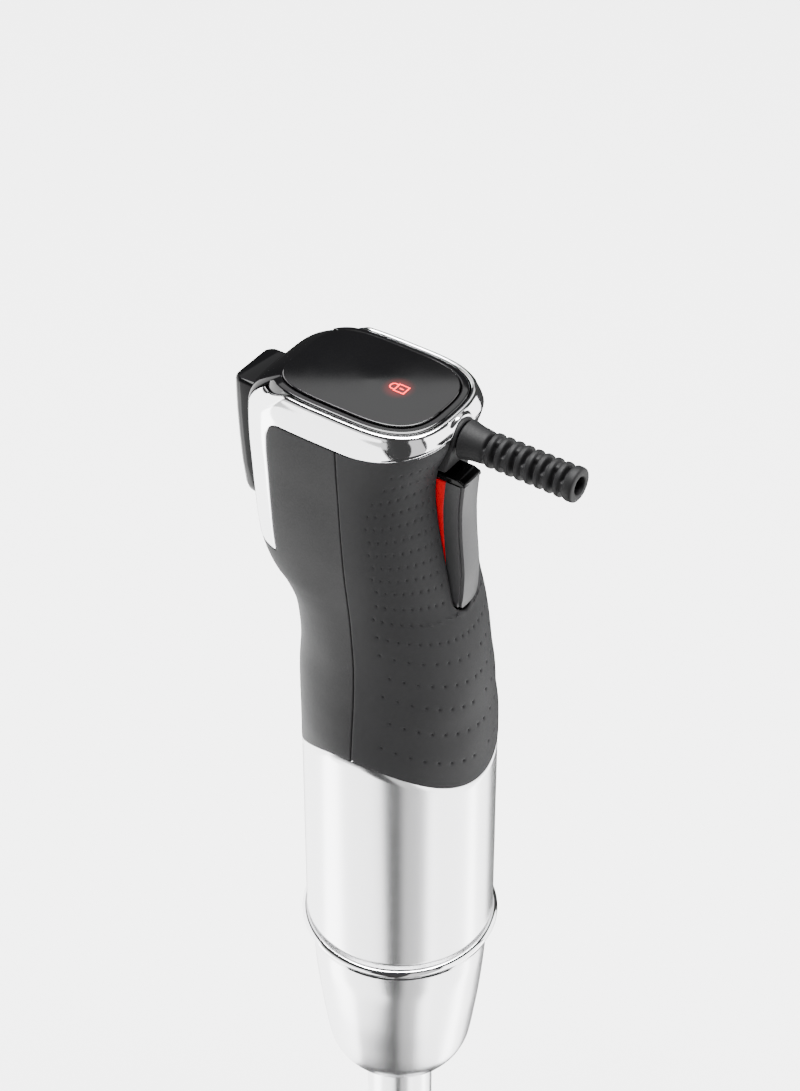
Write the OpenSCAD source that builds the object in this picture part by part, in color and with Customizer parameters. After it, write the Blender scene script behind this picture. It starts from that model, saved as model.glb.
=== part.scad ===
// Hand blender: a motor handle with a squeeze trigger on a twist-lock blending wand.
// Millimetres. The origin is the centre of the blade guard's rim, +Z runs up the shaft,
// the trigger and the cord boot are at the back (+Y) and the thumb key is at the front (-Y).

/* [Handle] */
// Radius of the steel barrel
barrel_r = 32; // [31.8:0.1:32.2]
// Wall of the steel barrel
barrel_wall = 1; // [0.8:0.1:1]
// Wall of the two grip shells
grip_wall = 2.4; // [2:0.1:2.6]
// Radius of the chrome bead around the foot of the barrel
ring_bead = 1.6; // [1.4:0.1:1.8]
// Clear gap where the barrel meets the grip shells
edge_gap = 0.3; // [0.2:0.05:0.5]

/* [Head] */
// Wall of the chrome trim and of the front fascia
trim_wall = 2.2; // [2:0.1:2.4]
// Half the width of the thumb key
key_w = 9.9; // [9:0.1:10]
// How far the thumb key stands out in front of the axis
key_front = 56.2; // [54:0.2:57]
// Height of the top of the thumb key
key_top = 408; // [406:0.5:409]
// Clear gap all round the thumb key
key_gap = 0.5; // [0.4:0.05:0.7]

/* [Trigger] */
// Half the width of the trigger
trigger_w = 4.7; // [4.4:0.1:4.8]
// Half the width of the slot that the trigger works in
slot_w = 5.3; // [5.2:0.1:5.5]
// Radius of the trigger's hinge pin
pin_r = 1.5; // [1.3:0.1:1.6]

/* [Cord boot] */
// Radius of the hole for the cord
cord_hole_r = 2.7; // [2.5:0.1:3]
// Outer radius of the ribs
rib_r = 5.5; // [5.2:0.1:5.8]
// Number of ribs
rib_count = 8; // [6:1:8]

/* [Wand] */
// Outer radius of the steel tube
tube_r = 11.5; // [11:0.1:11.6]
// Wall of the tube, the cup and the blade guard
steel_wall = 1; // [0.8:0.1:1.2]
// Outer radius of the blade guard's rim
rim_r = 31; // [29:0.5:32]
// Reach of the blade's wings
blade_r = 22; // [18:0.5:24]

/* [Drive] */
// Radius of the motor shaft and of the drive shaft
shaft_r = 3; // [2.5:0.1:3]
// Running clearance between a shaft and its bearing
run_gap = 0.05; // [0.03:0.01:0.08]
// Clearance between the two halves of the coupling
dog_gap = 0.4; // [0.35:0.05:0.5]

/* [Hidden] */
$fn = 64;

// Heights
mouth_h = 6;
guard_top = 62;
cup_foot = 125.7;
cup_top = 197.2;
ring_z = 199.3;
sleeve_foot = ring_z + ring_bead + 0.1;
frame_top = 293.5;
foot_z = frame_top + 0.1;
band_foot = 409.6;
head_top = 419.8;
boot_z = 412.3;
collar_r = 6.4;
// Hinge of the trigger
pin_y = 16;
pin_z = 352;
motor_screw_r = 24.5;
glass_top = 420.7;
strip_foot = 361;
// Bevel inside the foot of the grip shells, which clears the barrel's rim
foot_bevel = 2.8;

// Handle sections: height, half width, front reach, rear reach, front and rear squareness,
// and how far the middle of the section lies in front of the axis
sections = [
    [270, 32.2, 32.2, 32.2, 2, 2, 0],
    [294, 32.1, 32.2, 32, 2, 2, 0],
    [304, 30.6, 32.3, 31.3, 2.1, 2, 0.5],
    [313, 28.9, 32.3, 30.8, 2.2, 2.1, 1],
    [323, 27.5, 32, 29.8, 2.2, 2.1, 1.5],
    [332, 26.7, 31.8, 28.4, 2.4, 2.2, 2],
    [341, 26.1, 32.7, 26.4, 2.7, 2.3, 2.5],
    [348, 25.8, 35.9, 24.5, 3.4, 2.3, 3],
    [352, 25.8, 39.2, 23.5, 4, 2.3, 3.3],
    [359, 25.9, 42.2, 22.2, 4.6, 2.4, 3.8],
    [367, 26, 43.6, 20.6, 5, 2.5, 4.3],
    [378, 25.8, 44.6, 18.5, 5, 2.6, 5],
    [390, 25.3, 45.4, 17, 5, 2.6, 5.8],
    [400, 24.9, 45.9, 17.5, 5, 2.7, 6.4],
    [410, 24.3, 46, 21.5, 5, 2.7, 6.8],
    [415, 24, 45, 22.6, 4.6, 2.7, 6.8],
    [420, 23.4, 41.5, 21.2, 4.2, 2.7, 6.8]
];
function at(z, k) = lookup(z, [for (s = sections) [s[0], s[k]]]);
function lobe(v, n) = sign(v) * pow(abs(v), 2 / n);

// A point of the handle's skin at height z and angle t, moved inwards by w
function skin(z, t, w) =
    let (
        back = sin(t) > 0,
        mid = -at(z, 6),
        n = back ? at(z, 5) : at(z, 4),
        reach = back ? at(z, 3) - mid : at(z, 2) + mid
    )
    [(at(z, 1) - w) * lobe(cos(t), n), mid + (reach - w) * lobe(sin(t), n), z];

// The seam between the two grip shells leaves the middle of the section towards the foot
function seam_y(z) = lookup(z, [[270, 3], [294, 3], [330, 0.8], [360, -2.5], [410, -6.8]]);
function seam_angle(z) =
    let (mid = -at(z, 6), off = max(seam_y(z) - mid, 0))
    asin(pow(off / (at(z, 3) - mid), at(z, 5) / 2));

// Lower edge of the grip shells: a bow that is highest at the sides
function edge_z(y) = 294.2 + 0.084 * y - 0.0173 * y * y;

// Lower edge of the chrome band: level along the sides, rising towards the back
function band_z(y) = band_foot + 5.5 * pow(max(y + 5, 0) / 25, 2);

// Angle of a point that lies part f of the way along the rear shell (1), the front shell (-1),
// or at the plain angle f (0)
function turn(z, f, side) =
    let (s = side == 0 ? 0 : seam_angle(z))
    side == 0 ? f : side > 0 ? s + (180 - 2 * s) * f : s - (180 + 2 * s) * f;

// A closed patch of the skin with a foot and a top height for each place along it. The inner side
// may start higher than the outer one by rise, which leaves a bevel along the foot
module patch(places, side, foot, top, wall, rows, rise = 0) {
    n = len(places);
    m = 2 * n;
    points = [
        for (j = [0 : rows]) for (i = [0 : m - 1])
            let (
                k = i < n ? i : m - 1 - i,
                low = foot[k] + (i < n ? 0 : rise),
                z = low + (top[k] - low) * j / rows
            )
            skin(z, turn(z, places[k], side), i < n ? 0 : wall)
    ];
    walls = [
        for (j = [0 : rows - 1]) for (i = [0 : m - 1])
            let (a = j * m + i, b = j * m + (i + 1) % m)
            each [[a, b + m, b], [a, a + m, b + m]]
    ];
    caps = [
        for (i = [0 : n - 2])
            let (a = i, b = i + 1, c = m - 2 - i, d = m - 1 - i, t = rows * m)
            each [[a, b, c], [a, c, d], [t + a, t + c, t + b], [t + a, t + d, t + c]]
    ];
    faces = concat(walls, caps);
    polyhedron(points, side < 0 ? faces : [for (f = faces) [f[0], f[2], f[1]]], 6);
}
function spread(a, b, n) = [for (i = [0 : n]) a + (b - a) * i / n];

// A plan outline of the head at height z, moved inwards by w
module plan(z, w) {
    polygon([for (t = spread(0, 355, 71)) let (p = skin(z, t, w)) [p[0], p[1]]]);
}

// A round bar along Y, a ring about the shaft axis, and a block between six planes
module bar_y(r, y0, y1, z) {
    translate([0, y0, z]) rotate([-90, 0, 0]) cylinder(r = r, h = y1 - y0);
}
module ring(r_out, r_in, z0, z1) {
    translate([0, 0, z0]) difference() {
        cylinder(r = r_out, h = z1 - z0);
        translate([0, 0, -1]) cylinder(r = r_in, h = z1 - z0 + 2);
    }
}
module block(x0, x1, y0, y1, z0, z1) {
    translate([x0, y0, z0]) cube([x1 - x0, y1 - y0, z1 - z0]);
}

// A coil spring along Y
module coil(r, wire, y0, y1, z, turns) {
    steps = turns * 12;
    rise = (y1 - y0 - 2 * wire) / steps;
    points = [
        for (i = [0 : steps]) for (k = [0 : 4])
            let (a = 30 * i, b = 72 * k, q = r + wire * cos(b))
            [q * cos(a), y0 + wire + rise * i + wire * sin(b), z + q * sin(a)]
    ];
    walls = [
        for (i = [0 : steps - 1]) for (k = [0 : 4])
            let (a = i * 5 + k, b = i * 5 + (k + 1) % 5)
            each [[a, b + 5, b], [a, a + 5, b + 5]]
    ];
    last = steps * 5;
    polyhedron(points, concat(walls, [[0, 1, 2, 3, 4], [for (k = [4 : -1 : 0]) last + k]]), 4);
}

// ---- Grip shells ----
module front_grip_shell() {
    near = concat(spread(0, 0.12, 5), [0.14]);
    places = concat(near, spread(0.17, 0.83, 20), [for (i = [6 : -1 : 0]) 1 - near[i]]);
    n = len(places);
    foot = [for (f = places) edge_z(skin(285, turn(285, f, -1), 0)[1])];
    top = [for (f = places) (f < 0.13 || f > 0.87 ? band_foot : strip_foot) - 0.1];
    color([0.27, 0.27, 0.28]) patch(places, -1, foot, top, grip_wall, 22, foot_bevel);
}
module rear_grip() {
    places = spread(0, 1, 34);
    foot = [for (f = places) edge_z(skin(285, turn(285, f, 1), 0)[1])];
    top = [for (f = places) band_z(skin(410, 180 * f, 0)[1]) - 0.1];
    color([0.24, 0.24, 0.25]) difference() {
        patch(places, 1, foot, top, grip_wall, 22, foot_bevel);
        block(-slot_w, slot_w, 5, 40, 346.6, 401.2);
        bar_y(collar_r + 0.2, 5, 40, boot_z);
        block(-collar_r - 0.2, collar_r + 0.2, 5, 40, 401, boot_z);
    }
}

// ---- Head ----
module head_trim() {
    near = [-69, -60, -50, -40, -32, -26.5];
    places = concat(near, [-22.5, -15, -8, -3], spread(0, 180, 24), [183, 188, 195, 202.5],
        [for (i = [5 : -1 : 0]) 180 - near[i]]);
    foot = [for (t = places) t < -25 || t > 205 ? strip_foot : band_z(skin(410, t, 0)[1])];
    top = [for (t = places) head_top];
    color([0.85, 0.86, 0.88]) difference() {
        patch(places, 0, foot, top, trim_wall, 12);
        bar_y(collar_r + 0.2, 5, 40, boot_z);
        block(-collar_r - 0.2, collar_r + 0.2, 5, 40, 401, boot_z);
    }
}
module head_fascia() {
    places = spread(-110.4, -69.6, 12);
    foot = [for (t = places) strip_foot];
    top = [for (t = places) 416.5];
    color([0.03, 0.03, 0.035]) difference() {
        patch(places, 0, foot, top, trim_wall, 14);
        block(-key_w - key_gap, key_w + key_gap, -60, -30, 364.5, key_top + key_gap);
    }
}
module panel_bezel() {
    color([0.05, 0.05, 0.055]) {
        translate([0, 0, 416.6]) linear_extrude(2.8) difference() {
            plan(420, trim_wall + 0.6);
            plan(420, trim_wall + 3.6);
        }
        translate([0, 0, 414]) linear_extrude(2.7) intersection() {
            plan(416.5, trim_wall + 0.2);
            translate([-15.8, -60]) square([31.6, 24]);
        }
    }
}
module touch_glass() {
    color([0.02, 0.02, 0.025]) translate([0, 0, 417.2])
        linear_extrude(glass_top - 417.2) plan(420, trim_wall + 3.7);
}
module lock_icon() {
    color([0.9, 0.12, 0.12]) translate([0, -1.4, glass_top]) linear_extrude(0.1) {
        difference() {
            translate([-2, 0]) square([4, 4]);
            translate([-1.5, 0.5]) square([3, 3]);
        }
        translate([-0.3, 1.3]) square([0.6, 1.4]);
        difference() {
            translate([0, -0.6]) circle(1.6);
            translate([0, -0.6]) circle(1.1);
            translate([-2, 0]) square([4, 4]);
        }
    }
}
module icon_led() {
    color([0.8, 0.2, 0.2]) block(-1.5, 1.5, -2.5, 0.5, 410.7, 412.2);
}
module control_board() {
    color([0.1, 0.35, 0.2]) difference() {
        block(-17.5, 17.5, -33, 11, 409.1, 410.7);
        for (x = [-15, 15]) for (y = [-30, 8])
            translate([x, y, 400]) cylinder(r = 1.3, h = 20);
    }
}

// ---- Barrel and its foot ----
module barrel_sleeve() {
    color([0.78, 0.79, 0.8]) difference() {
        ring(barrel_r, barrel_r - barrel_wall, sleeve_foot, 310);
        rotate([90, 0, 90]) translate([0, 0, -40]) linear_extrude(80)
            polygon(concat([[40, 330], [-40, 330]],
                [for (y = spread(-36, 36, 24)) [y, edge_z(y) - edge_gap]]));
    }
}
module base_ring() {
    color([0.88, 0.89, 0.9]) rotate_extrude($fn = 96) intersection() {
        translate([barrel_r, ring_z]) circle(ring_bead, $fn = 32);
        translate([barrel_r - 1.05, ring_z - 5]) square([10, 10]);
    }
}
module base_cap() {
    color([0.12, 0.12, 0.13]) {
        difference() {
            translate([0, 0, 197.9]) cylinder(r = barrel_r - 1.15, h = 4);
            translate([0, 0, 190]) cylinder(r = 10, h = 20);
        }
        ring(barrel_r - 1.15, 29.8, 201.9, 212);
        ring(22.6, 20.2, 182, 197.9);
        for (i = [0 : 2]) rotate([0, 0, 120 * i - 8])
            translate([0, 0, 186]) rotate_extrude(angle = 16)
                translate([22.5, 0]) square([2.5, 3.5]);
    }
}

// ---- Motor and its frame ----
module at_screws(r) {
    for (a = [45 : 90 : 315]) rotate([0, 0, a]) translate([r, 0, 0]) children();
}
module inner_frame() {
    color([0.3, 0.3, 0.32]) difference() {
        union() {
            ring(29.4, 27.8, 202, frame_top);
            at_screws(25.4) translate([0, 0, 288.6]) cylinder(r = 2.8, h = frame_top - 288.6);
        }
        at_screws(25.4) translate([0, 0, 285]) cylinder(r = 1.22, h = 12);
        for (a = [0 : 30 : 330]) rotate([0, 0, a + 15]) translate([0, -1.5, 212]) cube([40, 3, 8]);
    }
}
module stator_core() {
    color([0.45, 0.45, 0.47]) difference() {
        ring(27.5, 16, 232, 262);
        at_screws(motor_screw_r) translate([0, 0, 230]) cylinder(r = 1.6, h = 40);
        for (a = [90, 270]) rotate([0, 0, a]) translate([12, -9, 231]) cube([11, 18, 32]);
    }
}
module field_coils() {
    color([0.72, 0.4, 0.18]) for (a = [90, 270]) rotate([0, 0, a]) {
        difference() {
            translate([17.4, -8.6, 225.5]) cube([5.2, 17.2, 42.5]);
            translate([16, -4, 230]) cube([8, 8, 33]);
        }
    }
}
module bracket(z, boss0, boss1) {
    difference() {
        union() {
            translate([0, 0, z]) cylinder(r = 27.6, h = 3);
            translate([0, 0, boss0]) cylinder(r = 10, h = boss1 - boss0);
        }
        translate([0, 0, boss0 - 1]) cylinder(r = 8, h = boss1 - boss0 + 2);
        at_screws(motor_screw_r) translate([0, 0, z - 1]) cylinder(r = 1.55, h = 5);
        for (a = [0 : 90 : 270]) rotate([0, 0, a]) translate([17, 0, z - 1]) cylinder(r = 5, h = 5);
    }
}
module lower_bracket() {
    color([0.6, 0.6, 0.62]) bracket(204, 203, 209);
}
module upper_bracket() {
    color([0.6, 0.6, 0.62]) bracket(283, 282, 288);
}
module lower_bearing() {
    color([0.75, 0.75, 0.77]) ring(8, shaft_r + run_gap, 203.5, 208.5);
}
module upper_bearing() {
    color([0.75, 0.75, 0.77]) ring(8, shaft_r + run_gap, 282.5, 287.5);
}
module brush_holders() {
    color([0.7, 0.6, 0.3]) for (s = [0, 180]) rotate([0, 0, s]) difference() {
        block(8.6, 24, -3.4, 3.4, 271, 281.9);
        block(8, 23, -2.05, 2.05, 272.95, 279.05);
    }
}
module carbon_brushes() {
    color([0.1, 0.1, 0.1]) for (s = [0, 180]) rotate([0, 0, s])
        block(7.9, 17, -2, 2, 273, 279);
}
module motor_screws() {
    color([0.7, 0.7, 0.72]) at_screws(motor_screw_r) {
        translate([0, 0, 202.2]) cylinder(r = 1.5, h = 84);
        translate([0, 0, 286.1]) cylinder(r = 2.6, h = 2);
    }
}

// ---- Inside the grip ----
module power_board() {
    color([0.12, 0.38, 0.2]) block(-17, 17, -15.7, -14.1, 301, 342);
}
module board_parts() {
    color([0.2, 0.25, 0.6]) block(-14, -3, -23, -15.7, 306, 320);
    color([0.3, 0.3, 0.3]) bar_y(5, -24, -15.7, 332);
    color([0.65, 0.65, 0.68]) block(4, 13, -24, -15.7, 304, 322);
}
module switch_carrier() {
    color([0.2, 0.2, 0.22]) difference() {
        union() {
            difference() {
                ring(27, 19, foot_z, foot_z + 2.6);
                block(-5.7, 5.7, -30, -20, 290, 300);
            }
            for (s = [-1, 1]) translate([s * 6.7, 0, 0]) {
                block(-1, 1, -14, 14, foot_z + 2.5, 400);
                block(-1, 1, 13, 18.7, 340, 358);
                block(-1, 1, -21.5, 21.5, foot_z, foot_z + 4);
            }
            block(-7.7, 7.7, -14, -12, 300, 400);
            block(-7.7, 7.7, -32, -13, 381, 383);
            for (s = [-1, 1]) translate([s * 7.6, 7, 0]) block(-2.4, 2.4, -3.5, 3.5, 392, 402.4);
            for (x = [-15, 15]) for (y = [-30, 8]) translate([x, y, 0]) {
                block(-1.6, 1.6, -1.6, 1.6, 402, 409);
            }
            block(-16.6, 16.6, 6.4, 9.6, 401, 404);
            block(-16.6, 16.6, -31.6, -28.4, 401, 404);
            block(-16.6, -13.4, -31, 9, 401, 404);
            block(13.4, 16.6, -31, 9, 401, 404);
            block(-7.7, 7.7, -31.6, -13, 396, 404);
        }
        block(-5.7, 5.7, -40, -12, 384, 404.1);
        block(-5.7, 5.7, -12, 12, 380.5, 410);
        pin(pin_r, 20);
        at_screws(25.4) translate([0, 0, 290]) cylinder(r = 1.3, h = 12);
        for (s = [-1, 1]) translate([s * 7.6, 7, 385]) cylinder(r = 1.22, h = 20);
    }
}
module frame_screws() {
    color([0.7, 0.7, 0.72]) at_screws(25.4) {
        translate([0, 0, 289.5]) cylinder(r = 1.2, h = 6.8);
        translate([0, 0, foot_z + 2.65]) cylinder(r = 2.2, h = 1.6);
    }
}
module trigger_switch() {
    color([0.1, 0.1, 0.12]) difference() {
        block(-5.5, 5.5, -11.8, 6, 364, 379);
        bar_y(2 + run_gap, 0.5, 8, 372);
    }
}
module switch_plunger() {
    color([0.85, 0.85, 0.85]) bar_y(2, 3, 12.2, 372);
}
module unlock_switch() {
    color([0.1, 0.1, 0.12]) block(-4, 4, -29.5, -20, 383.2, 391);
}
module trigger_pin() {
    color([0.8, 0.8, 0.82]) pin(pin_r, 9);
}
module terminal_block() {
    color([0.85, 0.85, 0.8]) block(-5, 5, -9, 1, 394, 401);
}
module cord_clamp() {
    color([0.15, 0.15, 0.16]) difference() {
        block(-10, 10, 4, 10, 404.1, 406.6);
        for (s = [-1, 1]) translate([s * 7.6, 7, 400]) cylinder(r = 1.22, h = 10);
    }
}
module clamp_screws() {
    color([0.7, 0.7, 0.72]) for (s = [-1, 1]) translate([s * 7.6, 7, 0]) {
        translate([0, 0, 396]) cylinder(r = 1.2, h = 10.7);
        translate([0, 0, 406.65]) cylinder(r = 2.2, h = 1.6);
    }
}

// ---- Cord boot ----
module boot_collar() {
    color([0.14, 0.14, 0.15]) difference() {
        union() {
            bar_y(collar_r, 16.5, 23.8, boot_z);
            block(-collar_r, collar_r, 16.5, 22, 401.4, boot_z);
        }
        bar_y(4.2, 10, 30, boot_z);
        block(-10, 10, 10, 19.4, 416.4, 425);
    }
}
module cord_boot() {
    color([0.13, 0.13, 0.14]) difference() {
        union() {
            difference() {
                bar_y(6, 13.9, 16.4, boot_z);
                block(-10, 10, 10, 19, 416.4, 425);
            }
            bar_y(4.15, 16, 24, boot_z);
            translate([0, 23.9, boot_z]) rotate([-90, 0, 0]) cylinder(r1 = 6.4, r2 = 4.4, h = 8);
            bar_y(4.1, 31, 62, boot_z);
            for (i = [0 : rib_count - 1]) bar_y(rib_r, 33.2 + 3.4 * i, 35.2 + 3.4 * i, boot_z);
            bar_y(rib_r + 0.1, 60.4, 63.5, boot_z);
        }
        bar_y(cord_hole_r, 10, 70, boot_z);
    }
}

// ---- Trigger ----
module pin(r, reach) {
    translate([-reach, pin_y, pin_z]) rotate([0, 90, 0]) cylinder(r = r, h = 2 * reach);
}
// Side outline of the trigger's back: its height runs up, its depth runs out of the slot
function trigger_face_y(z) = lookup(z, [
    [348.4, 23.2], [350.5, 25.2], [355, 26.8], [364, 27.1], [378, 26.1], [388, 25.9], [399, 26.8]
]);
module trigger_slab(inset0, inset1, z0, z1, w) {
    zs = concat([z0], [for (z = [352 : 4 : 396]) if (z > z0 && z < z1) z], [z1]);
    rotate([90, 0, 90]) translate([0, 0, -w]) linear_extrude(2 * w) polygon(concat(
        [for (z = zs) [trigger_face_y(z) - inset0, z]],
        [for (i = [len(zs) - 1 : -1 : 0]) [trigger_face_y(zs[i]) - inset1, zs[i]]]
    ));
}
module trigger_body() {
    color([0.07, 0.07, 0.08]) difference() {
        union() {
            trigger_slab(1.3, 6.6, 348.4, 399, trigger_w);
            block(-trigger_w, trigger_w, pin_y - 3.5, 21, pin_z - 2.8, pin_z + 5);
        }
        pin(pin_r + run_gap, 20);
    }
}
module trigger_face() {
    color([0.5, 0.5, 0.52]) trigger_slab(0, 1.3, 350, 398.4, trigger_w - 0.6);
}
module trigger_flank() {
    color([0.8, 0.05, 0.07]) rotate([90, 0, 90]) translate([0, 0, -trigger_w]) linear_extrude(2 * trigger_w)
        polygon(concat(
            [for (z = concat([358], [for (z = [360 : 4 : 396]) z], [398])) [trigger_face_y(z) - 6.65, z]],
            [[12.5, 398], [12.5, 368], [18, 358]]
        ));
}
module trigger_spring() {
    color([0.8, 0.8, 0.82]) coil(3, 0.45, -11.9, 12.4, 389, 9);
}

// ---- Thumb key ----
module unlock_key() {
    color([0.03, 0.03, 0.035]) {
        intersection() {
            rotate([90, 0, 90]) translate([0, 0, -key_w]) linear_extrude(2 * key_w) polygon([
                [-39, 366], [-50.5, 365.1], [-52.9, 366.4], [-54.6, 376], [-key_front, 396],
                [-key_front, key_top - 2], [-key_front + 1, key_top - 0.5],
                [-key_front + 3, key_top], [-39, key_top]
            ]);
            translate([0, 0, 360]) linear_extrude(60) union() {
                translate([-key_w, -key_front + 3]) square([2 * key_w, 40]);
                translate([-key_w + 3, -key_front]) square([2 * key_w - 6, 40]);
                for (s = [-1, 1]) translate([s * (key_w - 3), -key_front + 3]) circle(3);
            }
        }
        block(-12, 12, -40.5, -39, 370, 408);
        block(-2, 2, -39.1, -32.4, 385.5, 389.5);
    }
}
module unlock_spring() {
    color([0.8, 0.8, 0.82]) coil(4, 0.4, -38.9, -29.6, 387.5, 4);
}

// ---- Rotor ----
module motor_shaft() {
    color([0.75, 0.75, 0.77]) translate([0, 0, 186.1]) cylinder(r = shaft_r, h = 103);
}
module armature_core() {
    color([0.5, 0.5, 0.52]) difference() {
        ring(15.5, shaft_r, 232, 262);
        for (a = [0 : 30 : 330]) rotate([0, 0, a]) translate([14, -1, 230]) cube([3, 2, 40]);
    }
}
module armature_windings() {
    color([0.75, 0.42, 0.2]) {
        ring(13, shaft_r, 225, 231.9);
        ring(13, shaft_r, 262.1, 268.5);
    }
}
module commutator() {
    color([0.8, 0.5, 0.25]) difference() {
        ring(7.6, shaft_r, 269, 281);
        for (a = [0 : 30 : 330]) rotate([0, 0, a]) translate([7, -0.3, 260]) cube([3, 0.6, 30]);
    }
}
module cooling_fan() {
    color([0.15, 0.15, 0.16]) {
        ring(21.5, shaft_r, 212, 213.6);
        ring(6, shaft_r, 213.5, 220);
        for (a = [0 : 36 : 324]) rotate([0, 0, a]) translate([5, -0.6, 213.5]) cube([16, 1.2, 6]);
    }
}
module splines(r_hub, r_tip, width, z0, z1) {
    translate([0, 0, z0]) {
        cylinder(r = r_hub, h = z1 - z0);
        for (a = [0, 90]) rotate([0, 0, a]) translate([-r_tip, -width / 2, 0])
            cube([2 * r_tip, width, z1 - z0]);
    }
}
module drive_coupler() {
    color([0.85, 0.85, 0.8]) difference() {
        union() {
            splines(4.4, 6.6, 2.6, 177, 190);
            translate([0, 0, 189]) cylinder(r = 6.6, h = 11);
        }
        translate([0, 0, 186]) cylinder(r = shaft_r, h = 20);
    }
}

// ---- Wand ----
module wand_cup() {
    color([0.8, 0.81, 0.82]) rotate_extrude($fn = 96) polygon([
        [tube_r + run_gap, cup_foot], [16, 129.3], [22.2, 134.2], [24.7, 139], [25.5, 143.8],
        [26.8, 153.5], [28, 163.2], [28.9, 172.8], [29.7, 182.5], [29.6, 188], [29, 194],
        [28.6, cup_top], [27.4, cup_top], [28, 193.5], [28.4, 188], [28.5, 182.5], [27.7, 172.8],
        [26.8, 163.2], [25.6, 153.5], [24.3, 143.8], [23.5, 139.8], [21.3, 135.8], [15.5, 131.2],
        [tube_r + run_gap, 128]
    ]);
}
module cup_liner() {
    color([0.14, 0.14, 0.15]) difference() {
        union() {
            ring(26.6, 23, 164, cup_top);
            ring(26, 12, 161, 164.1);
            ring(14.2, tube_r + run_gap, 140, 161.1);
        }
        for (i = [0 : 2]) rotate([0, 0, 120 * i]) {
            rotate([0, 0, -10]) translate([0, 0, 185.5]) rotate_extrude(angle = 40)
                translate([20, 0]) square([5.4, 4.5]);
            rotate([0, 0, 20]) translate([0, 0, 185.4]) rotate_extrude(angle = 21)
                translate([20, 0]) square([5.3, 20]);
        }
    }
}
module wand_tube() {
    color([0.8, 0.81, 0.82]) ring(tube_r, tube_r - steel_wall, 44, 152);
}
module bell_guard() {
    neck = tube_r + 1.7;
    bow = rim_r - neck;
    outer = [for (a = [0 : 4.5 : 81]) [neck + bow * cos(a), mouth_h + 40 * sin(a)]];
    inner = [for (a = [81 : -4.5 : 0]) [neck - 1.6 + bow * cos(a), mouth_h + 38.4 * sin(a)]];
    color([0.8, 0.81, 0.82]) difference() {
        rotate_extrude($fn = 96) polygon(concat(
            [[rim_r, 0]], outer, [[neck + 0.4, 46.5], [neck, 49], [neck, guard_top]],
            [[tube_r + run_gap, guard_top], [tube_r + run_gap, 44]], inner, [[rim_r - 1.6, 0]]
        ));
        for (a = [0 : 90 : 270]) rotate([0, 0, a]) translate([15, 0, 20]) rotate([0, 90, 0])
            cylinder(r = 7.5, h = 40);
    }
}
module upper_bush() {
    color([0.7, 0.5, 0.25]) ring(tube_r - steel_wall, shaft_r + run_gap, 138, 150);
}
module lower_bush() {
    color([0.7, 0.5, 0.25]) ring(tube_r - steel_wall, shaft_r + run_gap, 50, 62);
}
module shaft_seal() {
    color([0.6, 0.2, 0.15]) ring(tube_r - steel_wall, shaft_r + run_gap, 45, 49.5);
}

// ---- Drive shaft and blade ----
module drive_shaft() {
    color([0.75, 0.75, 0.77]) translate([0, 0, 13]) cylinder(r = shaft_r, h = 162);
}
module wand_coupler() {
    color([0.2, 0.2, 0.22]) difference() {
        translate([0, 0, 167]) cylinder(r = 9, h = 19);
        translate([0, 0, 160]) cylinder(r = shaft_r, h = 15);
        splines(4.4 + dog_gap, 6.6 + dog_gap, 2.6 + 2 * dog_gap, 176, 190);
    }
}
module blade() {
    color([0.8, 0.8, 0.82]) difference() {
        union() {
            translate([0, 0, 18]) cylinder(r = 6, h = 8);
            for (s = [0, 180]) rotate([0, 0, s]) {
                translate([0, 0, 20]) linear_extrude(1.5) polygon([
                    [3, -5], [blade_r - 6, -4.5], [blade_r, -1], [blade_r - 2, 3], [6, 5], [0, 5]
                ]);
                translate([blade_r - 6, -4, 20.2]) rotate([0, -38, 0]) cube([8, 6, 1.5]);
            }
        }
        translate([0, 0, 5]) cylinder(r = shaft_r, h = 30);
    }
}
module blade_nut() {
    color([0.8, 0.8, 0.82]) difference() {
        union() {
            translate([0, 0, 12.8]) cylinder(r = 5, h = 5.1, $fn = 6);
            translate([0, 0, 11.5]) cylinder(r = 3.8, h = 2);
        }
        translate([0, 0, 13]) cylinder(r = shaft_r, h = 10);
    }
}

front_grip_shell();
rear_grip();
head_trim();
head_fascia();
panel_bezel();
touch_glass();
lock_icon();
icon_led();
control_board();
barrel_sleeve();
base_ring();
base_cap();
inner_frame();
stator_core();
field_coils();
lower_bracket();
upper_bracket();
lower_bearing();
upper_bearing();
brush_holders();
carbon_brushes();
motor_screws();
power_board();
board_parts();
switch_carrier();
frame_screws();
trigger_switch();
unlock_switch();
trigger_pin();
terminal_block();
cord_clamp();
clamp_screws();
boot_collar();
cord_boot();
trigger_spring();
unlock_spring();
trigger_body();
trigger_face();
trigger_flank();
switch_plunger();
unlock_key();
motor_shaft();
armature_core();
armature_windings();
commutator();
cooling_fan();
drive_coupler();
wand_cup();
cup_liner();
wand_tube();
bell_guard();
upper_bush();
lower_bush();
shaft_seal();
drive_shaft();
wand_coupler();
blade();
blade_nut();
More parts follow.
